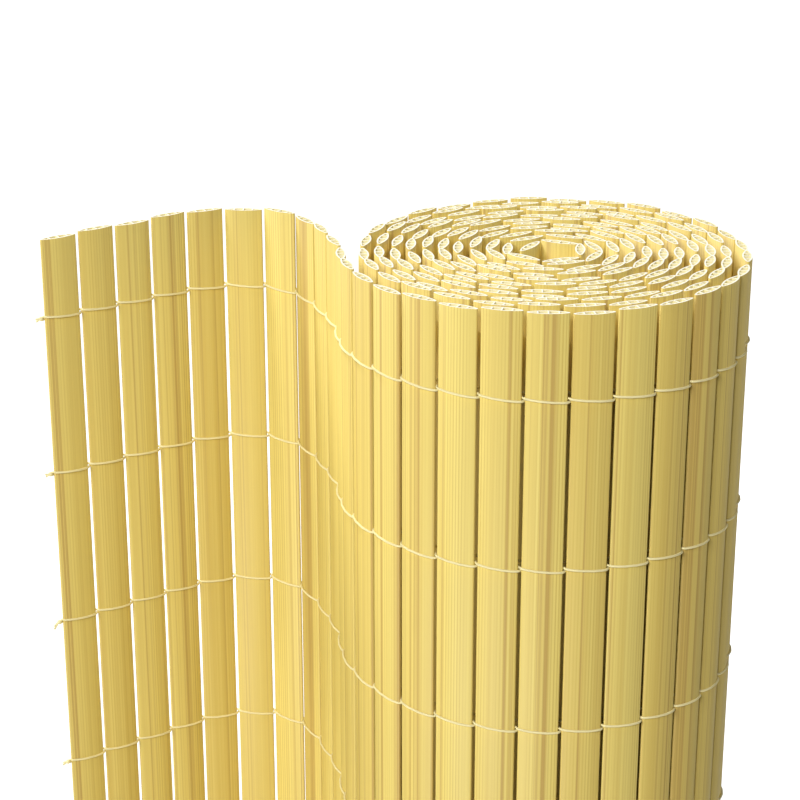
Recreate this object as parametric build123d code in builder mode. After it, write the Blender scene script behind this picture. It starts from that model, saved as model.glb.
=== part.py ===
from build123d import *
import os
from math import atan2, cos, degrees, radians, sin, tau

# A privacy screen mat of hollow plastic slats, bound side by side with rows of cord. It is rolled
# up and stands on its end, and the last slats of its outer end swing out to the left in an S bend.
# All sizes are in millimetres and all angles in degrees.

# The mat
MAT_HEIGHT = 800.0       # length of the slats, with their uneven ends
SLAT_WIDTH = 14.3
SLAT_THICKNESS = 3.7     # at the crown, in the middle of the slat
CROWN_WIDTH = 5.2        # flat of the crown, between the two falling flanks
SLAT_EDGE = 0.9          # left at the two blunt long edges
BORE_WIDTH = 9.0         # open chamber along the whole slat
BORE_HEIGHT = 1.6
SLAT_GAP = 0.9           # between one slat and the next, on the flat mat
END_STAGGER = 1.2        # how far the cut ends differ in height

# The binding cords
CORD_ROWS = 13
CORD_THICKNESS = 0.9
CORD_MARGIN = 31.0       # from the mat's top and bottom to the outermost rows
CORD_CLEARANCE = 0.05    # between a cord and the crown of a slat
CORD_TAIL = 3.5          # cord left past the free edge
CORD_SLATS = 23          # slats that a cord crosses, counted from the free edge

# The roll, seen from above with its axis at the middle
ROLL_RADIUS = 74.3       # middle of the mat where the free end leaves the roll
CORE_RADIUS = 13.0       # middle of the mat at the inner end
CORE_FOLD = -42.0        # turns the innermost slat off the line to the axis of the roll
TURNS = 10.6             # leaves room between two turns for the cords on both faces
OUTER_SLACK = 2.5        # the outermost turn springs open by this much more

# The free end, walking away from the roll
FREE_SLATS = 10
LEAVE_HEADING = 112.0    # 90 points straight to the back, 180 to the left
FREE_BEND = 106.0        # how far the free end turns to the left and back to the front
STRAIGHT_SLATS = 1       # slats before the bend begins
BEND_SLATS = 5           # slats over which the free end bends

slat_pitch = SLAT_WIDTH + SLAT_GAP
slat_length = MAT_HEIGHT - END_STAGGER
turn_pitch = (ROLL_RADIUS - OUTER_SLACK - CORE_RADIUS) / TURNS


def roll_radius(turned):
    """Radius of the mat's middle after it has gone round the roll by an angle in radians."""
    turns = turned / tau
    return ROLL_RADIUS - turn_pitch * turns - OUTER_SLACK * min(turns, 1.0)


def roll_point(turned):
    """Middle of the mat on the roll. It starts on the left and passes the front first."""
    return Vector(roll_radius(turned), 0).rotate(Axis.Z, 180 + degrees(turned))


def next_slat(turned):
    """Angle at which a slat ends that starts at the given angle, so that it keeps its pitch."""
    step = slat_pitch / roll_radius(turned)
    for _ in range(8):
        reach = (roll_point(turned + step) - roll_point(turned)).length
        step *= slat_pitch / reach
    return turned + step


# The hinge points between the slats, from the free edge through the roll to its core. Every slat
# belongs to the free end or to one turn of the roll, counted from the outside.
hinges = [roll_point(0)]
for number in range(FREE_SLATS):
    eased = min(max((number - STRAIGHT_SLATS) / BEND_SLATS, 0.0), 1.0)
    heading = radians(LEAVE_HEADING + FREE_BEND * eased * eased * (3 - 2 * eased))
    hinges.insert(0, hinges[0] + Vector(cos(heading), sin(heading)) * slat_pitch)
groups = ["slats_free_end"] * FREE_SLATS
turned = 0.0
while turned < TURNS * tau:
    groups.append(f"slats_turn_{int(turned / tau) + 1:02d}")
    turned = next_slat(turned)
    hinges.append(roll_point(turned))

# The innermost slat folds over and lies across the hollow core.
groups.append(groups[-1])
hinges.append(hinges[-1] - hinges[-1].normalized().rotate(Axis.Z, CORE_FOLD) * slat_pitch)

# One slat: an extruded profile with two crowned faces, blunt edges and an open chamber. Each face
# of the real slat is a shallow arc, which three flats follow within a quarter of a millimetre.
with BuildPart() as slat:
    with BuildSketch():
        with BuildLine():
            Polyline(
                (-SLAT_WIDTH / 2, -SLAT_EDGE / 2),
                (-CROWN_WIDTH / 2, -SLAT_THICKNESS / 2),
                (CROWN_WIDTH / 2, -SLAT_THICKNESS / 2),
                (SLAT_WIDTH / 2, -SLAT_EDGE / 2),
                (SLAT_WIDTH / 2, SLAT_EDGE / 2),
                (CROWN_WIDTH / 2, SLAT_THICKNESS / 2),
                (-CROWN_WIDTH / 2, SLAT_THICKNESS / 2),
                (-SLAT_WIDTH / 2, SLAT_EDGE / 2),
                close=True,
            )
        make_face()
        Rectangle(BORE_WIDTH, BORE_HEIGHT, mode=Mode.SUBTRACT)
    extrude(amount=slat_length)

# Every slat of the mat stands between two hinge points. The golden ratio spreads the small
# differences in height, so that no two neighbours end level.
places = {}
for number, group in enumerate(groups):
    along = hinges[number + 1] - hinges[number]
    middle = (hinges[number] + hinges[number + 1]) / 2
    lift = END_STAGGER * (number * 0.618034 % 1)
    place = Location((middle.X, middle.Y, lift), (0, 0, degrees(atan2(along.Y, along.X))))
    places.setdefault(group, []).append(place)

pieces = {}
for group, stands in places.items():
    with BuildPart() as turn:
        with Locations(*stands):
            add(slat.part)
    pieces[group] = turn.part


def cord_side(offset):
    """Points of one side of a cord, at a distance from the mat's middle on its outer face."""
    outward = []
    for number in range(CORD_SLATS):
        outward.append((hinges[number + 1] - hinges[number]).normalized().rotate(Axis.Z, -90))
    along = (hinges[1] - hinges[0]).normalized()
    side = [hinges[0] + along * (SLAT_GAP / 2 - CORD_TAIL) + outward[0] * offset]
    for number in range(1, CORD_SLATS):
        both = outward[number - 1] + outward[number]
        side.append(hinges[number] + both * (offset / (1 + outward[number - 1].dot(outward[number]))))
    side.append(hinges[CORD_SLATS] + outward[-1] * offset)
    return side


# The binding cords, from the top row to the bottom one. Each lies on the crowns of the slats, from
# its tail past the free edge, along the free end and round the front of the roll.
seat = SLAT_THICKNESS / 2 + CORD_CLEARANCE
row_pitch = (MAT_HEIGHT - 2 * CORD_MARGIN) / (CORD_ROWS - 1)
for row in range(CORD_ROWS):
    row_height = MAT_HEIGHT - CORD_MARGIN - row * row_pitch
    with BuildPart() as cord:
        with BuildSketch(Plane.XY.offset(row_height - CORD_THICKNESS / 2)):
            with BuildLine():
                Polyline(*cord_side(seat + CORD_THICKNESS), *reversed(cord_side(seat)), close=True)
            make_face()
        extrude(amount=CORD_THICKNESS)
    pieces[f"binding_cord_{row + 1:02d}"] = cord.part

# The origin is on the floor, under the middle of the whole mat as it stands.
middle = Compound(children=[piece.moved(Location()) for piece in pieces.values()]).bounding_box().center()
to_origin = Location((-middle.X, -middle.Y, 0))
os.makedirs("parts", exist_ok=True)
for name, piece in pieces.items():
    placed = piece.moved(to_origin)
    placed.label = name
    export_step(placed, f"parts/{name}.step")

edge_slat = (hinges[0] + hinges[1]) / 2 - middle
print("slats", len(groups), "mat length", round(len(groups) * slat_pitch), "turns", round(turned / tau, 2))
print("roll axis", round(-middle.X, 3), round(-middle.Y, 3), "row pitch", round(row_pitch, 3))
print("middle of the first slat", round(edge_slat.X, 3), round(edge_slat.Y, 3))
print("first hinges", [(round(p.X - middle.X, 2), round(p.Y - middle.Y, 2)) for p in hinges[:3]])
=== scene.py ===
import math
import random

import bmesh
import bpy
import numpy as np
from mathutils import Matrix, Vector
from mathutils.geometry import tessellate_polygon


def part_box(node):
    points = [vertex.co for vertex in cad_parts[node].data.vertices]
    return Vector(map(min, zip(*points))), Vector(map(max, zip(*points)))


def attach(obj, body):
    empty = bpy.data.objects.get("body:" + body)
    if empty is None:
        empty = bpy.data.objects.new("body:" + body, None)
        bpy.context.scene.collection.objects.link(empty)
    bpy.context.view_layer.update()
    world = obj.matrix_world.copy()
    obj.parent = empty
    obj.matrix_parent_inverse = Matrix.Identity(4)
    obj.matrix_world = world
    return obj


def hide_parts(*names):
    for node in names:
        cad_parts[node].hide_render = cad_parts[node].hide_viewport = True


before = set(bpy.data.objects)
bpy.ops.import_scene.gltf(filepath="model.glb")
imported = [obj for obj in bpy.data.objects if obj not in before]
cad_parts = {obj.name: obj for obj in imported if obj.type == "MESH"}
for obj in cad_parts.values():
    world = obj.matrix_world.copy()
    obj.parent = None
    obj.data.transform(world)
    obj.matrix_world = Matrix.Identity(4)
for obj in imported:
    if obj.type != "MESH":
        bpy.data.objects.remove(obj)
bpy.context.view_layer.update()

# The lay of the mat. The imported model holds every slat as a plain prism, so the order of the slats,
# from the free edge to the core of the roll, and where each stands are read from there.
GAP = 0.0009

loose_slats = []
for node_name in sorted(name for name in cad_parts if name.startswith("slats")):
    prisms = bmesh.new()
    prisms.from_mesh(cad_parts[node_name].data)
    bmesh.ops.remove_doubles(prisms, verts=prisms.verts, dist=1e-6)
    unread = set(prisms.verts)
    while unread:
        prism = [unread.pop()]
        for corner in prism:
            for edge in corner.link_edges:
                other = edge.other_vert(corner)
                if other in unread:
                    unread.remove(other)
                    prism.append(other)
        corners = np.array([corner.co for corner in prism])
        middle = (corners[:, :2].min(0) + corners[:, :2].max(0)) / 2
        along = np.linalg.svd(corners[:, :2] - middle)[2][0]
        reach = np.abs((corners[:, :2] - middle) @ along).max() + GAP / 2
        loose_slats.append(
            {
                "node": node_name,
                "ends": [Vector(middle - along * reach), Vector(middle + along * reach)],
                "low": corners[:, 2].min(),
                "high": corners[:, 2].max(),
            }
        )
    prisms.free()

mat = []
walked_to = min((end for slat in loose_slats for end in slat["ends"]), key=lambda end: end.x)
while loose_slats:
    slat = min(loose_slats, key=lambda one: min((end - walked_to).length for end in one["ends"]))
    loose_slats.remove(slat)
    slat["ends"].sort(key=lambda end: (end - walked_to).length)
    slat["along"] = (slat["ends"][1] - slat["ends"][0]).normalized()
    slat["outward"] = Vector((slat["along"].y, -slat["along"].x))
    slat["middle"] = (slat["ends"][0] + slat["ends"][1]) / 2
    walked_to = slat["ends"][1]
    mat.append(slat)


# The slats: hollow strips of bamboo-coloured PVC. They are extruded with three inner webs and two
# shallow crowned faces, fluted and streaked along like split bamboo, and sawn off at both ends,
# where the cut shows paler.
SLAT_HALF_WIDTH = 0.00702
SLAT_CROWN = 0.00185
SLAT_EDGE = 0.00045
SLAT_WALL = 0.00058
WEB_PLACES = (-0.0035, 0.0, 0.0035)
WEB_HALF = 0.00027
FLUTE_PITCH = 0.0011
FLUTE_HALF = 0.0002
FLUTE_DEPTH = 0.00003
FLUTES = 12
FLUTE_POINTS = 3
SHOULDER_INSET = 0.00022
EDGE_ROUND = 0.00007
CELL_REACH = 0.0061
CELL_STEPS = 4
STRIP_STEP = 3
FACE_FINISH = 0
CUT_FINISH = 1
CELL_FINISH = 2


def crown_height(across):
    return SLAT_EDGE + (SLAT_CROWN - SLAT_EDGE) * (1 - (across / SLAT_HALF_WIDTH) ** 2)


shoulder = SLAT_HALF_WIDTH - SHOULDER_INSET
face_line = [(-shoulder, crown_height(shoulder))]
for flute in range(FLUTES):
    valley = (flute - (FLUTES - 1) / 2) * FLUTE_PITCH
    face_line.append((valley - FLUTE_HALF, crown_height(valley - FLUTE_HALF)))
    face_line.append((valley, crown_height(valley) - FLUTE_DEPTH))
    face_line.append((valley + FLUTE_HALF, crown_height(valley + FLUTE_HALF)))
face_line.append((shoulder, crown_height(shoulder)))
front_line = [(across, -rise) for across, rise in face_line]
back_line = [(across, rise) for across, rise in reversed(face_line)]
right_edge = [
    (SLAT_HALF_WIDTH - EDGE_ROUND, -SLAT_EDGE * 0.8),
    (SLAT_HALF_WIDTH, -SLAT_EDGE * 0.4),
    (SLAT_HALF_WIDTH, SLAT_EDGE * 0.4),
    (SLAT_HALF_WIDTH - EDGE_ROUND, SLAT_EDGE * 0.8),
]
left_edge = [(-across, -out) for across, out in right_edge]
outline = front_line + right_edge + back_line + left_edge

cells = []
cell_sides = [-CELL_REACH]
for web in WEB_PLACES:
    cell_sides += [web - WEB_HALF, web + WEB_HALF]
cell_sides.append(CELL_REACH)
for left, right in zip(cell_sides[0::2], cell_sides[1::2]):
    places = [left + (right - left) * step / CELL_STEPS for step in range(CELL_STEPS + 1)]
    floor_line = [(across, -crown_height(across) + SLAT_WALL) for across in places]
    roof_line = [(across, crown_height(across) - SLAT_WALL) for across in reversed(places)]
    cells.append(floor_line + roof_line)

loops = [outline] + cells
profile = [point for loop in loops for point in loop]
end_triangles = tessellate_polygon([[Vector((x, y, 0)) for x, y in loop] for loop in loops])

slats_by_node = {}
for number, slat in enumerate(mat):
    slat["number"] = number
    slats_by_node.setdefault(slat["node"], []).append(slat)

slat_pieces = []
for node_name, members in slats_by_node.items():
    points = []
    faces = []
    finishes = []
    rounded = []
    face_uvs = []
    for slat in members:
        first = len(points)
        for height in (slat["low"], slat["high"]):
            for across, out in profile:
                spot = slat["middle"] + slat["along"] * across - slat["outward"] * out
                points.append((spot.x, spot.y, height))
        size = len(profile)
        start = 0
        for loop in loops:
            for step in range(len(loop)):
                one = start + step
                two = start + (step + 1) % len(loop)
                if loop is not outline:
                    one, two = two, one
                faces.append((first + one, first + two, first + size + two, first + size + one))
                finishes.append(FACE_FINISH if loop is outline else CELL_FINISH)
                rounded.append(loop is outline)
                u_one = STRIP_STEP * slat["number"] + step / len(loop)
                u_two = STRIP_STEP * slat["number"] + (step + 1) / len(loop)
                low_uvs = ((u_one, slat["low"]), (u_two, slat["low"]))
                high_uvs = ((u_two, slat["high"]), (u_one, slat["high"]))
                face_uvs.append(low_uvs + high_uvs)
            start += len(loop)
        for triangle in end_triangles:
            a, b, c = triangle
            (ax, ay), (bx, by), (cx, cy) = profile[a], profile[b], profile[c]
            if (bx - ax) * (cy - ay) - (by - ay) * (cx - ax) < 0:
                b, c = c, b
            faces.append((first + size + a, first + size + b, first + size + c))
            faces.append((first + a, first + c, first + b))
            finishes += [CUT_FINISH, CUT_FINISH]
            rounded += [False, False]
            face_uvs += [((STRIP_STEP * slat["number"], 0),) * 3] * 2
    mesh = bpy.data.meshes.new(node_name + "_strips")
    mesh.from_pydata(points, [], faces)
    mesh.polygons.foreach_set("material_index", finishes)
    mesh.polygons.foreach_set("use_smooth", rounded)
    layer = mesh.uv_layers.new(name="strip")
    layer.data.foreach_set("uv", [value for face in face_uvs for uv in face for value in uv])
    mesh.update()
    strips = bpy.data.objects.new(node_name + "_strips", mesh)
    bpy.context.scene.collection.objects.link(strips)
    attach(strips, "root")
    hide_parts(node_name)
    slat_pieces.append(strips)

streaks = bpy.data.node_groups.new("bamboo streaks", "ShaderNodeTree")
streaks.interface.new_socket("Pale", in_out="INPUT", socket_type="NodeSocketColor")
streaks.interface.new_socket("Deep", in_out="INPUT", socket_type="NodeSocketColor")
streaks.interface.new_socket("Brown", in_out="INPUT", socket_type="NodeSocketColor")
streaks.interface.new_socket("Color", in_out="OUTPUT", socket_type="NodeSocketColor")
links = streaks.links.new
group_in = streaks.nodes.new("NodeGroupInput")
group_out = streaks.nodes.new("NodeGroupOutput")
strip_uv = streaks.nodes.new("ShaderNodeUVMap")
strip_uv.uv_map = "strip"

# Fine and broad streaks along the strip.
fine = streaks.nodes.new("ShaderNodeMapping")
fine.inputs["Scale"].default_value = (29.3, 2.4, 1)
links(strip_uv.outputs["UV"], fine.inputs["Vector"])
fine_noise = streaks.nodes.new("ShaderNodeTexNoise")
fine_noise.inputs["Scale"].default_value = 1.0
fine_noise.inputs["Detail"].default_value = 4.0
fine_noise.inputs["Roughness"].default_value = 0.65
links(fine.outputs["Vector"], fine_noise.inputs["Vector"])
broad = streaks.nodes.new("ShaderNodeMapping")
broad.inputs["Scale"].default_value = (7.3, 0.8, 1)
links(strip_uv.outputs["UV"], broad.inputs["Vector"])
broad_noise = streaks.nodes.new("ShaderNodeTexNoise")
broad_noise.inputs["Scale"].default_value = 1.0
broad_noise.inputs["Detail"].default_value = 2.0
links(broad.outputs["Vector"], broad_noise.inputs["Vector"])
both = streaks.nodes.new("ShaderNodeMix")
both.inputs["Factor"].default_value = 0.5
links(fine_noise.outputs["Fac"], both.inputs["A"])
links(broad_noise.outputs["Fac"], both.inputs["B"])
spread = streaks.nodes.new("ShaderNodeMapRange")
spread.inputs["From Min"].default_value = 0.32
spread.inputs["From Max"].default_value = 0.68
links(both.outputs["Result"], spread.inputs["Value"])

# Each strip is a little paler or deeper than the next.
place_in_strip = streaks.nodes.new("ShaderNodeSeparateXYZ")
links(strip_uv.outputs["UV"], place_in_strip.inputs["Vector"])
strip_share = streaks.nodes.new("ShaderNodeMath")
strip_share.operation = "DIVIDE"
strip_share.inputs[1].default_value = STRIP_STEP
links(place_in_strip.outputs["X"], strip_share.inputs[0])
strip_number = streaks.nodes.new("ShaderNodeMath")
strip_number.operation = "FLOOR"
links(strip_share.outputs["Value"], strip_number.inputs[0])
strip_tone = streaks.nodes.new("ShaderNodeTexWhiteNoise")
strip_tone.noise_dimensions = "1D"
links(strip_number.outputs["Value"], strip_tone.inputs["W"])
toned = streaks.nodes.new("ShaderNodeMix")
toned.inputs["Factor"].default_value = 0.3
links(spread.outputs["Result"], toned.inputs["A"])
links(strip_tone.outputs["Value"], toned.inputs["B"])
tint = streaks.nodes.new("ShaderNodeMix")
tint.data_type = "RGBA"
links(toned.outputs["Result"], tint.inputs["Factor"])
links(group_in.outputs["Deep"], tint.inputs["A"])
links(group_in.outputs["Pale"], tint.inputs["B"])

# Deeper lines in the flutes. A wave texture of scale 1 turns through 20 radians to the unit.
WAVE_RADIANS = 20
flute_lines = streaks.nodes.new("ShaderNodeTexWave")
flute_lines.bands_direction = "X"
flute_lines.inputs["Scale"].default_value = math.tau * len(outline) / FLUTE_POINTS / WAVE_RADIANS
flute_lines.inputs["Phase Offset"].default_value = -math.pi / 3
links(strip_uv.outputs["UV"], flute_lines.inputs["Vector"])
line_share = streaks.nodes.new("ShaderNodeMapRange")
line_share.inputs["From Min"].default_value = 0.42
line_share.inputs["From Max"].default_value = 0.62
line_share.inputs["To Max"].default_value = 0.85
links(broad_noise.outputs["Fac"], line_share.inputs["Value"])
lines = streaks.nodes.new("ShaderNodeMath")
lines.operation = "MULTIPLY"
links(flute_lines.outputs["Fac"], lines.inputs[0])
links(line_share.outputs["Result"], lines.inputs[1])
lined = streaks.nodes.new("ShaderNodeMix")
lined.data_type = "RGBA"
links(lines.outputs["Value"], lined.inputs["Factor"])
links(tint.outputs["Result"], lined.inputs["A"])
links(group_in.outputs["Deep"], lined.inputs["B"])

# Brown veins here and there.
vein = streaks.nodes.new("ShaderNodeMapping")
vein.inputs["Location"].default_value = (5.7, 2.1, 0)
vein.inputs["Scale"].default_value = (17.7, 0.45, 1)
links(strip_uv.outputs["UV"], vein.inputs["Vector"])
vein_noise = streaks.nodes.new("ShaderNodeTexNoise")
vein_noise.inputs["Scale"].default_value = 1.0
vein_noise.inputs["Detail"].default_value = 3.0
links(vein.outputs["Vector"], vein_noise.inputs["Vector"])
vein_share = streaks.nodes.new("ShaderNodeMapRange")
vein_share.inputs["From Min"].default_value = 0.56
vein_share.inputs["From Max"].default_value = 0.68
vein_share.inputs["To Max"].default_value = 0.8
links(vein_noise.outputs["Fac"], vein_share.inputs["Value"])
veined = streaks.nodes.new("ShaderNodeMix")
veined.data_type = "RGBA"
links(vein_share.outputs["Result"], veined.inputs["Factor"])
links(lined.outputs["Result"], veined.inputs["A"])
links(group_in.outputs["Brown"], veined.inputs["B"])
links(veined.outputs["Result"], group_out.inputs["Color"])

pvc = bpy.data.materials.new("bamboo PVC")
pvc.use_nodes = True
pvc_shader = pvc.node_tree.nodes["Principled BSDF"]
pvc_shader.inputs["Roughness"].default_value = 0.5
pvc_shader.inputs["Specular IOR Level"].default_value = 0.35
pvc_streaks = pvc.node_tree.nodes.new("ShaderNodeGroup")
pvc_streaks.node_tree = streaks
pvc_streaks.inputs["Pale"].default_value = (0.86, 0.71, 0.21, 1)
pvc_streaks.inputs["Deep"].default_value = (0.62, 0.44, 0.095, 1)
pvc_streaks.inputs["Brown"].default_value = (0.48, 0.30, 0.075, 1)
pvc.node_tree.links.new(pvc_streaks.outputs["Color"], pvc_shader.inputs["Base Color"])

sawn = bpy.data.materials.new("sawn PVC")
sawn.use_nodes = True
sawn_shader = sawn.node_tree.nodes["Principled BSDF"]
sawn_shader.inputs["Base Color"].default_value = (0.96, 0.93, 0.78, 1)
sawn_shader.inputs["Roughness"].default_value = 0.6

raw = bpy.data.materials.new("raw PVC")
raw.use_nodes = True
raw_shader = raw.node_tree.nodes["Principled BSDF"]
raw_shader.inputs["Base Color"].default_value = (0.94, 0.86, 0.53, 1)
raw_shader.inputs["Roughness"].default_value = 0.6

for strips in slat_pieces:
    strips.data.materials.append(pvc)
    strips.data.materials.append(sawn)
    strips.data.materials.append(raw)


# The binding cords: rows of pale twine in two strands. The strands change sides at every gap and
# cross there, one above the other, so that each slat is held between them. At the free edge both
# are tied in a knot and cut off to short tails.
CORD_RADIUS = 0.00043
CORD_STEP = 0.00062
CORD_TAIL = 0.0034
CORD_SIDES = 6
CROSSING_SHARE = 0.06
CROSSING_BEND = 0.6
TAIL_SPLAY = 0.35
TAIL_TAPER = 0.9
KNOT_SLOPE = 0.4
KNOT = ((0.0017, 0.00042), (0.0014, 0.00075), (0.0009, 0.00092), (0.0004, 0.00075), (0.0001, 0.00045))
SPAN_PLACES = (-0.5, -0.478, -0.44, -0.33, -0.15, 0.15, 0.33, 0.44, 0.478)

twine = bpy.data.materials.new("pale twine")
twine.use_nodes = True
twine_shader = twine.node_tree.nodes["Principled BSDF"]
twine_shader.inputs["Base Color"].default_value = (0.90, 0.80, 0.42, 1)
twine_shader.inputs["Roughness"].default_value = 0.8

tails = random.Random(4)
row_nodes = sorted(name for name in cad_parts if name.startswith("binding_cord"))
for row, node_name in enumerate(row_nodes):
    row_low, row_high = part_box(node_name)
    row_height = (row_low.z + row_high.z) / 2
    points = []
    faces = []
    row_slope = tails.uniform(0.1, 0.9)
    for strand in (0, 1):
        edge = mat[0]["ends"][0].to_3d() + Vector((0, 0, row_height))
        edge_out = -mat[0]["along"].to_3d()
        slope = Vector((0, 0, -row_slope + TAIL_SPLAY * strand))
        tail = tails.uniform(0.85, 1.0) * CORD_TAIL
        path = [edge + edge_out * tail + slope * tail]
        girth = [CORD_RADIUS * TAIL_TAPER]
        for out, radius in KNOT:
            path.append(edge + edge_out * out + slope * out * KNOT_SLOPE)
            girth.append(radius)
        for number, slat in enumerate(mat):
            in_front = (number + strand) % 2 == 0
            side = 1 if in_front else -1
            pitch = (slat["ends"][1] - slat["ends"][0]).length
            for place in SPAN_PLACES:
                across = place * pitch
                rise = crown_height(min(abs(across), SLAT_HALF_WIDTH)) + CORD_RADIUS
                settle = min(1.0, (0.5 - abs(place)) / CROSSING_SHARE) ** CROSSING_BEND
                spot = slat["middle"] + slat["along"] * across + slat["outward"] * (side * rise * settle)
                path.append(Vector((spot.x, spot.y, row_height - side * CORD_STEP * 2 * place)))
                girth.append(CORD_RADIUS)
        last = mat[-1]["ends"][1]
        path.append(Vector((last.x, last.y, row_height)))
        girth.append(CORD_RADIUS)
        first = len(points)
        for step, spot in enumerate(path):
            ahead = path[min(step + 1, len(path) - 1)] - path[max(step - 1, 0)]
            sideways = ahead.cross(Vector((0, 0, 1))).normalized()
            upward = sideways.cross(ahead).normalized()
            for turn in range(CORD_SIDES):
                angle = math.tau * turn / CORD_SIDES
                round_spot = sideways * math.cos(angle) + upward * math.sin(angle)
                points.append(spot + round_spot * girth[step])
        for step in range(len(path) - 1):
            for turn in range(CORD_SIDES):
                a = first + step * CORD_SIDES + turn
                b = first + step * CORD_SIDES + (turn + 1) % CORD_SIDES
                faces.append((a, b, b + CORD_SIDES, a + CORD_SIDES))
        faces.append(tuple(first + turn for turn in reversed(range(CORD_SIDES))))
        faces.append(tuple(first + (len(path) - 1) * CORD_SIDES + turn for turn in range(CORD_SIDES)))
    mesh = bpy.data.meshes.new(node_name + "_strands")
    mesh.from_pydata(points, [], faces)
    mesh.polygons.foreach_set("use_smooth", [True] * len(mesh.polygons))
    mesh.materials.append(twine)
    strands = bpy.data.objects.new(node_name + "_strands", mesh)
    bpy.context.scene.collection.objects.link(strands)
    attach(strands, "root")
    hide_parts(node_name)


# The studio: a pale floor that keeps the shadow, white all round, a large soft lamp on the left,
# one from behind on the cut ends, and the camera above the front, which looks down on the upper
# end of the roll.
floor_mesh = bpy.data.meshes.new("studio floor")
floor_mesh.from_pydata([(-12, -12, 0), (12, -12, 0), (12, 12, 0), (-12, 12, 0)], [], [(0, 1, 2, 3)])
floor = bpy.data.objects.new("studio floor", floor_mesh)
bpy.context.scene.collection.objects.link(floor)
paper = bpy.data.materials.new("white paper")
paper.use_nodes = True
nodes = paper.node_tree.nodes
paper_links = paper.node_tree.links.new
paper_shader = nodes["Principled BSDF"]
paper_shader.inputs["Base Color"].default_value = (0.9, 0.9, 0.9, 1)
paper_shader.inputs["Roughness"].default_value = 0.9
paper_place = nodes.new("ShaderNodeTexCoord")
paper_reach = nodes.new("ShaderNodeVectorMath")
paper_reach.operation = "LENGTH"
paper_fade = nodes.new("ShaderNodeMapRange")
paper_fade.inputs["From Min"].default_value = 0.4
paper_fade.inputs["From Max"].default_value = 1.6
paper_fade.inputs["To Min"].default_value = 0.3
paper_fade.inputs["To Max"].default_value = 0.85
paper_glow = nodes.new("ShaderNodeEmission")
paper_sum = nodes.new("ShaderNodeAddShader")
paper_mix = nodes.new("ShaderNodeMixShader")
paper_path = nodes.new("ShaderNodeLightPath")
paper_seen = nodes.new("ShaderNodeMath")
paper_mirrored = nodes.new("ShaderNodeMath")
paper_mirrored.use_clamp = True
paper_links(paper_place.outputs["Object"], paper_reach.inputs[0])
paper_links(paper_reach.outputs["Value"], paper_fade.inputs["Value"])
paper_links(paper_fade.outputs["Result"], paper_glow.inputs["Strength"])
paper_links(paper_path.outputs["Is Camera Ray"], paper_seen.inputs[0])
paper_links(paper_path.outputs["Is Glossy Ray"], paper_seen.inputs[1])
paper_links(paper_seen.outputs["Value"], paper_mirrored.inputs[0])
paper_links(paper_path.outputs["Is Transmission Ray"], paper_mirrored.inputs[1])
paper_links(paper_shader.outputs["BSDF"], paper_sum.inputs[0])
paper_links(paper_glow.outputs["Emission"], paper_sum.inputs[1])
paper_links(paper_mirrored.outputs["Value"], paper_mix.inputs["Fac"])
paper_links(paper_shader.outputs["BSDF"], paper_mix.inputs[1])
paper_links(paper_sum.outputs["Shader"], paper_mix.inputs[2])
paper_links(paper_mix.outputs["Shader"], nodes["Material Output"].inputs["Surface"])
floor_mesh.materials.append(paper)

world = bpy.data.worlds.new("studio")
bpy.context.scene.world = world
world.use_nodes = True
sky_nodes = world.node_tree.nodes
sky_links = world.node_tree.links.new
sky = sky_nodes["Background"]
sky.inputs["Strength"].default_value = 0.22
white = sky_nodes.new("ShaderNodeBackground")
white.inputs["Color"].default_value = (1, 1, 1, 1)
sky.inputs["Color"].default_value = (1, 1, 1, 1)
sky_mix = sky_nodes.new("ShaderNodeMixShader")
sky_path = sky_nodes.new("ShaderNodeLightPath")
sky_seen = sky_nodes.new("ShaderNodeMath")
sky_mirrored = sky_nodes.new("ShaderNodeMath")
sky_mirrored.use_clamp = True
sky_links(sky_path.outputs["Is Camera Ray"], sky_seen.inputs[0])
sky_links(sky_path.outputs["Is Glossy Ray"], sky_seen.inputs[1])
sky_links(sky_seen.outputs["Value"], sky_mirrored.inputs[0])
sky_links(sky_path.outputs["Is Transmission Ray"], sky_mirrored.inputs[1])
sky_links(sky_mirrored.outputs["Value"], sky_mix.inputs["Fac"])
sky_links(sky.outputs["Background"], sky_mix.inputs[1])
sky_links(white.outputs["Background"], sky_mix.inputs[2])
sky_links(sky_mix.outputs["Shader"], sky_nodes["World Output"].inputs["Surface"])

key_data = bpy.data.lights.new("window lamp", "AREA")
key_data.energy = 36
key_data.size = 1.0
key_lamp = bpy.data.objects.new("window lamp", key_data)
bpy.context.scene.collection.objects.link(key_lamp)
key_lamp.location = (-0.85, -1.7, 1.75)
key_aim = Vector((0, 0, 0.55)) - key_lamp.location
key_lamp.rotation_euler = key_aim.to_track_quat("-Z", "Y").to_euler()

rear_data = bpy.data.lights.new("rear lamp", "AREA")
rear_data.energy = 32
rear_data.size = 0.8
rear_lamp = bpy.data.objects.new("rear lamp", rear_data)
bpy.context.scene.collection.objects.link(rear_lamp)
rear_lamp.location = (-0.8, 1.0, 2.2)
rear_aim = Vector((0.05, 0, 0.8)) - rear_lamp.location
rear_lamp.rotation_euler = rear_aim.to_track_quat("-Z", "Y").to_euler()

camera_data = bpy.data.cameras.new("camera")
camera_data.lens = 97.9
camera_data.sensor_width = 36
camera = bpy.data.objects.new("camera", camera_data)
bpy.context.scene.collection.objects.link(camera)
camera.location = (0.0410, -0.7419, 1.0208)
camera.rotation_euler = (math.radians(69.43), 0, math.radians(2.86))
bpy.context.scene.camera = camera
bpy.context.scene.view_settings.view_transform = "Standard"
